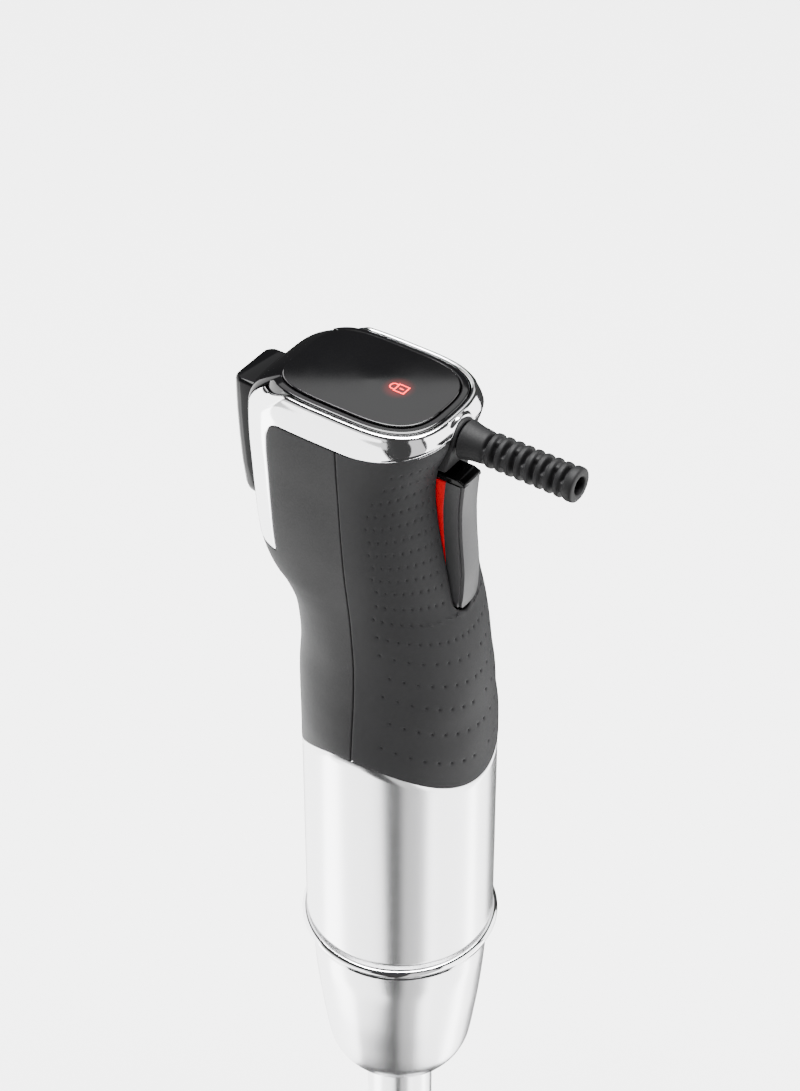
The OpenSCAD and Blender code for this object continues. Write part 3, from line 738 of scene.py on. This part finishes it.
panel = {
    "edge": -53,           # corner angle where the front facing meets the chrome strips
    "keyWindow": (10.4, 364.5, 408.5),    # half width, foot, top
    "sideColumns": 6,      # of the facing beside the window, and across half the window
    "windowColumns": 8,
    "windowRows": 20,
    "chinRow": 362.75,     # one more row between the facing's foot and the window
    "facingWall": 1.4,
    # section of the front facing above the key window: inset and height
    "fold": [(0.02, 409.6), (0.12, 410.8), (0.38, 412.1), (0.72, 413.2), (1.2, 414.4),
             (1.8, 415.5), (2.6, 416.7), (3.5, 417.9), (4.5, 419), (5.2, 419.7), (5.75, 420.1)],
    # surround of the glass: inset, height along the side, height at the front corner
    "bevelRing": [(3.35, 414, 412), (3.35, 419.4, 417.8), (3.45, 419.75, 418.1), (3.75, 419.95, 418.5),
                  (4.5, 420.05, 419.2), (5.3, 420.1, 419.7), (5.55, 420.05, 419.75), (5.65, 419.7, 419.5),
                  (5.7, 417.6, 417.6)],
    "ringColumns": 64,
    "ringWall": 0.3,
    "glassSides": 120,
    "glassInset": 5.85,
    "glassFoot": 417.2,
    "glassTop": 420.7,
    "glassEdge": 0.35,
}


def makeFascia(p):
    bm = bmesh.new()
    halfKey, keyFoot, keyTop = p["keyWindow"]
    side = p["sideColumns"]
    rows = p["windowRows"]
    beside = [mixed(keyFoot, keyTop, k / rows) for k in range(rows + 1)]
    section = [(0, z) for z in [head["stripFoot"], p["chinRow"]] + beside] + p["fold"]

    def place(i, j):
        inset, z = section[j]
        window = sideTurn(z, halfKey, False)
        if i <= side:
            turn = mixed(cornerTurn(z, p["edge"]), window, i / side)
        else:
            turn = mixed(window, -math.pi / 2, (i - side) / p["windowColumns"])
        return skin(z, turn, inset)

    sheet(bm, side + p["windowColumns"], len(section) - 1, place)
    hole = [f for f in bm.faces if f.calc_center_median().x < halfKey
            and keyFoot < f.calc_center_median().z < keyTop]
    bmesh.ops.delete(bm, geom=hole, context="FACES")
    mirrorAcross(bm)
    turnOutwards(bm)
    return finishPiece(bm, "frontFacing", "motor_unit", "black_gloss", ["head_fascia"],
                       wall=p["facingWall"], levels=1)


def makeBevelRing(p):
    bm = bmesh.new()
    columns = p["ringColumns"]
    level = handle["topLevel"]

    def place(i, j):
        inset, sideHeight, cornerHeight = p["bevelRing"][j]
        turn = mixed(cornerTurn(level, p["edge"]), math.pi / 2, i / columns)
        z = mixed(cornerHeight, sideHeight, bandShare(skin(level, turn, inset).y))
        return skin(min(z, level), turn, inset) + Vector((0, 0, max(z - level, 0)))

    sheet(bm, columns, len(p["bevelRing"]) - 1, place)
    mirrorAcross(bm)
    turnOutwards(bm)
    return finishPiece(bm, "panelBezel", "motor_unit", "black_gloss", ["panel_bezel"],
                       wall=p["ringWall"], levels=1, material=finishes["bezel_gloss"])


def makeGlass(p):
    bm = bmesh.new()
    rim = bmesh.ops.create_circle(bm, cap_ends=True, segments=p["glassSides"], radius=1)["verts"]
    for k, v in enumerate(rim):
        v.co = skin(handle["topLevel"], 2 * math.pi * k / len(rim), p["glassInset"])
        v.co.z = p["glassFoot"]
    thicken(bm, (0, 0, p["glassTop"] - p["glassFoot"]))
    return finishPiece(bm, "touchGlass", "motor_unit", "black_gloss", ["touch_glass"],
                       bevel=p["glassEdge"], material=finishes["panel_glass"])


makeFascia(panel)
makeBevelRing(panel)
makeGlass(panel)
print("panel made")

key = {
    "half": 9.9,
    "back": -39,
    "corner": 3.6,
    "cornerSteps": 8,
    # height and front
    "reach": [[364, -51.8], [367, -53.4], [376, -54.8], [396, -56.1], [409, -56.1]],
    # height and inset of each row from foot to top
    "rows": [(364.7, 2.4), (364.9, 1.5), (365.4, 0.7), (366.3, 0.2), (367.8, 0), (376, 0),
             (386, 0), (396, 0), (402, 0), (406.6, 0), (407.2, 0.1), (407.7, 0.4),
             (407.95, 0.8), (408, 1.3)],
}


def makeKey(k):
    bm = bmesh.new()

    def quarter(front, inset, side):
        # a rounded front corner, taken from the side towards the middle
        r = k["corner"] - inset
        middle = (k["half"] - inset - r, front + inset + r)
        turns = [math.pi / 2 * n / k["cornerSteps"] for n in range(k["cornerSteps"] + 1)]
        return [(side * (middle[0] + r * math.cos(a)), middle[1] - r * math.sin(a)) for a in turns]

    def loop(j):
        z, inset = k["rows"][j]
        front = curveUp(k["reach"], z)
        half = k["half"] - inset
        corners = quarter(front, inset, 1) + quarter(front, inset, -1)[::-1]
        return [(half, k["back"])] + corners + [(-half, k["back"]), (half, k["back"])]

    def place(i, j):
        return Vector((*loop(j)[i], k["rows"][j][0]))

    sheet(bm, len(loop(0)) - 1, len(k["rows"]) - 1, place)
    fillEnds(bm)
    return finishPiece(bm, "unlockKey", "thumb_key", "black_gloss", ["unlock_key"])


makeKey(key)
print("thumb key made")

trigger = {
    # height and how far back the face stands
    "face": [[346.9, 23.4], [347.6, 24.6], [349, 25.6], [352, 26.4], [357, 26.9], [364, 27.1],
             [378, 26.1], [388, 25.9], [399, 26.8]],
    "columns": 12,
    "rows": 44,
    "rowSpread": 1.35,     # crowds the rows towards the round foot
    "crown": 0.35,
    "footHalf": 0.4,       # half width of the lowest row
    "half": 4.7,
    "body": {"half": 4.7, "foot": 347.2, "top": 397.2, "inset": 1.25, "deep": 5.2, "bevel": 0.5},
    "plate": {"half": 4.1, "foot": 347.6, "top": 398.4, "inset": 0, "deep": 1.2, "bevel": 0.4},
    # the red flank's front edge slopes from frontFoot to front
    "flank": {"foot": 357, "top": 397.2, "behindFace": 6.6, "front": 12.5, "frontFoot": 18,
              "slope": 0.5, "columns": 4, "rows": 24, "bevel": 0.5},
    # the cap's outline from the back edge to the front one: place and height
    "cap": [(26.7, 397.3), (26.4, 398.7), (24.1, 399.6), (13.4, 399.4), (12.6, 397.3)],
    "capBevel": 0.55,
}


def makeSlab(t, s, name, slotName, nodes):
    # a crowned plate with a round foot, as thick as it is deep
    bm = bmesh.new()
    half = s["half"]

    def place(i, j):
        z = mixed(s["foot"], s["top"], (j / t["rows"]) ** t["rowSpread"])
        drop = max(s["foot"] + half - z, 0)
        wide = max(math.sqrt(max(half ** 2 - drop ** 2, 0)), t["footHalf"])
        x = wide * (1 - 2 * i / t["columns"])
        crown = t["crown"] * (1 - (x / half) ** 2)
        return Vector((x, curveUp(t["face"], z) - s["inset"] - t["crown"] + crown, z))

    sheet(bm, t["columns"], t["rows"], place)
    thicken(bm, (0, -s["deep"], 0), keep=True)
    return finishPiece(bm, name, "trigger", slotName, nodes, bevel=s["bevel"])


def makeFlank(t, s):
    bm = bmesh.new()

    def place(i, j):
        z = mixed(s["foot"], s["top"], j / s["rows"])
        back = curveUp(t["face"], z) - s["behindFace"]
        front = max(s["front"], s["frontFoot"] - (z - s["foot"]) * s["slope"])
        return Vector((t["half"], mixed(back, front, i / s["columns"]), z))

    sheet(bm, s["columns"], s["rows"], place)
    thicken(bm, (-2 * t["half"], 0, 0), keep=True)
    return finishPiece(bm, "triggerFlank", "trigger", "red_plastic", ["trigger_flank"],
                       bevel=s["bevel"])


def makeCap(t):
    bm = bmesh.new()
    bm.faces.new([bm.verts.new((-t["half"], y, z)) for y, z in t["cap"]])
    thicken(bm, (2 * t["half"], 0, 0))
    return finishPiece(bm, "triggerCap", "trigger", "black_gloss", bevel=t["capBevel"], sharp=20)


makeSlab(trigger, trigger["body"], "triggerBody", "dark_plastic", ["trigger_body"])
makeSlab(trigger, trigger["plate"], "triggerFace", "satin_grey", ["trigger_face"])
makeFlank(trigger, trigger["flank"])
makeCap(trigger)
print("trigger made")

boot = {
    "axis": 412.3,
    # place along the boot and radius, for its root and for its tip with the hole in it
    "cone": [(23.9, 6.3), (24.4, 6.4), (25.2, 6.1), (26.4, 5.75), (28.5, 5.45), (30.5, 5.3),
             (31.7, 5.15), (32.2, 4.9)],
    "tip": [(60.55, 5.3), (60.8, 5.55), (61.4, 5.6), (62.6, 5.6), (63.2, 5.4), (63.5, 4.9),
            (63.5, 3.1), (63.2, 2.75), (62, 2.7), (50, 2.7)],
    "ribsFrom": 32.5,
    "ribsTo": 60.4,
    "firstRib": 33.2,
    "pitch": 3.4,
    "ribWide": 2.0,
    "ribOut": 5.5,
    "ribRound": 0.45,      # drop of a rib's edge, over ribSoft
    "ribSoft": 0.5,
    "lastRib": 60.2,       # all rib from here on
    "webOut": 4.75,
    "slotIn": 3.3,
    "slotSoft": 0.25,
    "bridges": (-0.05, 1.5),    # radians, in one gap and in the next
    "bridgeEdge": 0.93,
    "bridgeSoft": 0.08,
    "turnSteps": 72,
    "stepsPerRib": 12,
}


def bootRadius(b, y, turn):
    inGap = (y - b["firstRib"]) % b["pitch"]
    gap = int((y - b["firstRib"]) // b["pitch"])
    if y > b["lastRib"]:
        return b["ribOut"]
    if inGap < b["ribWide"]:
        edge = min(inGap, b["ribWide"] - inGap)
        return b["ribOut"] - b["ribRound"] * max(0, 1 - edge / b["ribSoft"]) ** 2
    # between two ribs: a web, cut by two slots with a bridge at each end
    across = abs(math.sin(turn + b["bridges"][gap % 2]))
    slot = min(max((b["bridgeEdge"] - across) / b["bridgeSoft"], 0), 1)
    side = min(inGap - b["ribWide"], b["pitch"] - inGap)
    depth = min(max(side / b["slotSoft"], 0), 1)
    return mixed(b["webOut"], mixed(b["webOut"], b["slotIn"], slot), depth)


def makeBoot(b):
    bm = bmesh.new()
    steps = round((b["ribsTo"] - b["ribsFrom"]) / b["pitch"] * b["stepsPerRib"])
    ribbed = [(mixed(b["ribsFrom"], b["ribsTo"], k / steps), None) for k in range(steps + 1)]
    section = b["cone"] + ribbed + b["tip"]

    def place(i, j):
        turn = 2 * math.pi * i / b["turnSteps"]
        y, radius = section[j]
        if radius is None:
            radius = bootRadius(b, y, turn)
        return Vector((radius * math.cos(turn), y, b["axis"] + radius * math.sin(turn)))

    sheet(bm, b["turnSteps"], len(section) - 1, place)
    fillEnds(bm)
    return finishPiece(bm, "cordBoot", "motor_unit", "boot_rubber", ["cord_boot"], levels=1)


collar = {
    "radius": 6.4,
    "foot": 401.5,
    "back": 23.7,          # its outer end, which leans in to backFoot at the foot
    "backFoot": 20.6,
    "front": 16.6,         # its inner end, which stands at frontTop above topHeight
    "frontTop": 19.1,
    "topHeight": 416.3,
    "lip": 0.9,
    "arcSteps": 24,
}


def makeCollar(c):
    bm = bmesh.new()
    arc = [(c["radius"] * math.cos(a), boot["axis"] + c["radius"] * math.sin(a))
           for a in (math.pi * k / c["arcSteps"] for k in range(c["arcSteps"] + 1))]
    outline = [(c["radius"], c["foot"], c["backFoot"])] + [(x, z, c["back"]) for x, z in arc]
    outline.append((-c["radius"], c["foot"], c["backFoot"]))
    bm.faces.new([bm.verts.new((x, y, z)) for x, z, y in outline])
    for v in thicken(bm, (0, c["front"] - c["back"], 0)):
        v.co.y = c["front"] if v.co.z <= c["topHeight"] else c["frontTop"]
    return finishPiece(bm, "bootCollar", "motor_unit", "boot_rubber", ["boot_collar"],
                       bevel=c["lip"], sharp=50)


makeBoot(boot)
makeCollar(collar)
print("cord boot made")

barrel = {"radius": 32, "wall": 1, "foot": 201, "gap": 0.3, "columns": 128, "rows": 14}


def makeBarrel(b):
    bm = bmesh.new()

    def place(i, j):
        turn = 2 * math.pi * i / b["columns"]
        y = b["radius"] * math.sin(turn)
        top = footEdge(y) - b["gap"]
        return Vector((b["radius"] * math.cos(turn), y, mixed(b["foot"], top, j / b["rows"])))

    sheet(bm, b["columns"], b["rows"], place)
    closeUp(bm)
    turnOutwards(bm)
    return finishPiece(bm, "barrelSleeve", "motor_unit", "barrel_steel", ["barrel_sleeve"],
                       wall=b["wall"], levels=1)


def spinProfile(profile, steps=128):
    # a closed outline of radius and height, turned about the upright axis
    bm = bmesh.new()
    chain = [bm.verts.new((r, 0, z)) for r, z in profile]
    edges = [bm.edges.new((a, b)) for a, b in zip(chain, chain[1:] + chain[:1])]
    bmesh.ops.spin(bm, geom=chain + edges, axis=(0, 0, 1), cent=(0, 0, 0),
                   angle=2 * math.pi, steps=steps, use_merge=True)
    closeUp(bm)
    return bm


def curvedChain(points, steps):
    # more points on smooth curves through these ones
    rows = [[k, a, b] for k, (a, b) in enumerate(points)]
    count = (len(points) - 1) * steps
    return [(curveUp(rows, k / steps, 1), curveUp(rows, k / steps, 2)) for k in range(count + 1)]


ring = {
    "radius": 32,
    "height": 199.3,
    "bead": 1.6,
    "beadFrom": 125,       # degrees, and how far round the bead goes
    "beadTurn": 165,
    "beadSteps": 16,
    "inner": 30.95,
    "lip": [(32.6, 197.3), (32.55, 196.4), (32.3, 195.85), (31.7, 195.6)],    # below the bead
}


def makeRing(r):
    turns = [math.radians(r["beadFrom"] - r["beadTurn"] * k / r["beadSteps"])
             for k in range(r["beadSteps"] + 1)]
    bead = [(r["radius"] + r["bead"] * math.cos(a), r["height"] + r["bead"] * math.sin(a))
            for a in turns]
    inner = [(r["inner"], r["lip"][-1][1]), (r["inner"], bead[0][1])]
    return finishPiece(spinProfile(bead + r["lip"] + inner), "baseRing", "motor_unit",
                       "chrome_trim", ["base_ring"])


cup = {
    # radius and height, on the outside from the foot up, then on the inside back down
    "outer": [(12.2, 125.75), (16, 129.3), (20, 131.9), (22.6, 134.9), (24.5, 138.9),
              (25.5, 143.8), (26.8, 153.5), (28, 163.2), (28.9, 172.8), (29.6, 182.5),
              (29.5, 188), (29, 194), (28.6, 197.2)],
    "outerSteps": 4,
    "inner": [(27.4, 197.2), (28, 193.5), (28.4, 188), (28.5, 182.5), (27.7, 172.8), (26.8, 163.2),
              (25.6, 153.5), (24.3, 143.8), (23.5, 139.8), (21.3, 135.8), (15.5, 131.2), (11.6, 128),
              (11.6, 125.75)],
}


def makeCup(c):
    outline = curvedChain(c["outer"], c["outerSteps"]) + c["inner"]
    return finishPiece(spinProfile(outline), "wandCup", "wand", "barrel_steel", ["wand_cup"])


tube = {"wall": 1, "bevel": 0.2}    # its length and width are the solid's


def makeTube(t):
    low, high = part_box("wand_tube")
    outer = high.x / mm
    foot = low.z / mm
    top = high.z / mm
    inner = outer - t["wall"]
    outline = [(outer, foot), (outer, top), (inner, top), (inner, foot)]
    return finishPiece(spinProfile(outline), "wandTube", "wand", "barrel_steel", ["wand_tube"],
                       bevel=t["bevel"])


makeBarrel(barrel)
makeRing(ring)
makeCup(cup)
makeTube(tube)
print("steel parts made")

springs = {
    # fixedEnd is 0 or 1 for the end that would stay, and keep the share of the length that would be left;
    # each spring is copied whole from its solid and does not shorten
    "triggerSpring": {"node": "trigger_spring", "joint": "trigger_squeeze", "fixedEnd": 0, "keep": 0.8},
    "keySpring": {"node": "unlock_spring", "joint": "key_push", "fixedEnd": 1, "keep": 0.7},
}


def makeSpring(name, s):
    bm = bmesh.new()
    bm.from_mesh(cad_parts[s["node"]].data)
    bmesh.ops.remove_doubles(bm, verts=bm.verts[:], dist=0.000001)    # still in metres
    bmesh.ops.scale(bm, vec=(1 / mm, 1 / mm, 1 / mm), verts=bm.verts[:])
    spring = finishPiece(bm, name, "motor_unit", "steel", [s["node"]])
    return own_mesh(spring)


for pieceName, values in springs.items():
    makeSpring(pieceName, values)
print("springs made")

studio = {
    "floorSize": 8,
    "floorHeight": -0.0004,
    "floorColour": (0.93, 0.93, 0.93),
    "sky": 0.06,           # what the metal and the grips see of the room
    "backdrop": 0.95,      # how bright the same room looks behind the floor
    "aim": (0, 0, 0.33),   # the panels stand around this point and face it
    # name, azimuth, elevation, distance, width, height, radiance
    "panels": [
        ("rightSoftPanel", 58, -20, 1.7, 0.97, 3.8, 1.0),
        ("rightPanel", 102, -20, 1.7, 1.73, 3.8, 4.6),
        ("farRightPanel", 145, -20, 1.7, 0.98, 3.8, 4.6),
        ("leftPanel", -27, -35, 1.7, 1.85, 1.78, 4.2),
        ("leftHighPanel", -27, 2, 1.7, 2.2, 0.6, 1.2),
        ("farLeftPanel", -84, -20, 1.7, 2.2, 3.8, 5),
        ("topPanel", 214, 82, 2.3, 1.9, 1.9, 36),
        ("rearPanel", 214.5, 49.8, 2.0, 1.8, 0.8, 1.5),
    ],
}


def makeFloor(s):
    bm = bmesh.new()
    bmesh.ops.create_grid(bm, x_segments=2, y_segments=2, size=s["floorSize"] / 2)
    bmesh.ops.translate(bm, verts=bm.verts[:], vec=(0, 0, s["floorHeight"]))
    mesh = bpy.data.meshes.new("floor")
    bm.to_mesh(mesh)
    bm.free()
    floor = bpy.data.objects.new("floor", mesh)
    bpy.context.scene.collection.objects.link(floor)
    paper = Finish("floorPaper", {"Base Color": s["floorColour"] + (1,), "Roughness": 0.9})
    mottle = paper.noise(0.4, 2)
    paper.feed("Base Color", paper.blendColour(mottle, shade(s["floorColour"], 0.995),
                                               shade(s["floorColour"], 1.005)))
    mesh.materials.append(paper.material)
    floor.visible_glossy = False    # the metal mirrors only the panels and the dark room
    floor.visible_shadow = False


def makeLights(s):
    middle = Vector(s["aim"])
    for name, azimuth, elevation, distance, width, height, radiance in s["panels"]:
        data = bpy.data.lights.new(name, "AREA")
        data.shape = "RECTANGLE"
        data.size = width
        data.size_y = height
        data.energy = radiance * math.pi * width * height
        lamp = bpy.data.objects.new(name, data)
        a = math.radians(azimuth)
        e = math.radians(elevation)
        away = Vector((math.cos(e) * math.cos(a), math.cos(e) * math.sin(a), math.sin(e)))
        lamp.location = middle + distance * away
        aim(lamp, middle)
        lamp.visible_camera = False
        bpy.context.scene.collection.objects.link(lamp)
    world = bpy.data.worlds.new("studio")
    world.use_nodes = True
    tree = world.node_tree
    sky = tree.nodes["Background"]
    sky.inputs["Color"].default_value = (1, 1, 1, 1)
    path = tree.nodes.new("ShaderNodeLightPath")
    bright = tree.nodes.new("ShaderNodeMapRange")
    bright.inputs["To Min"].default_value = s["sky"]
    bright.inputs["To Max"].default_value = s["backdrop"]
    tree.links.new(path.outputs["Is Camera Ray"], bright.inputs["Value"])
    tree.links.new(bright.outputs["Result"], sky.inputs["Strength"])
    bpy.context.scene.world = world


makeFloor(studio)
makeLights(studio)
print("floor and lights placed")
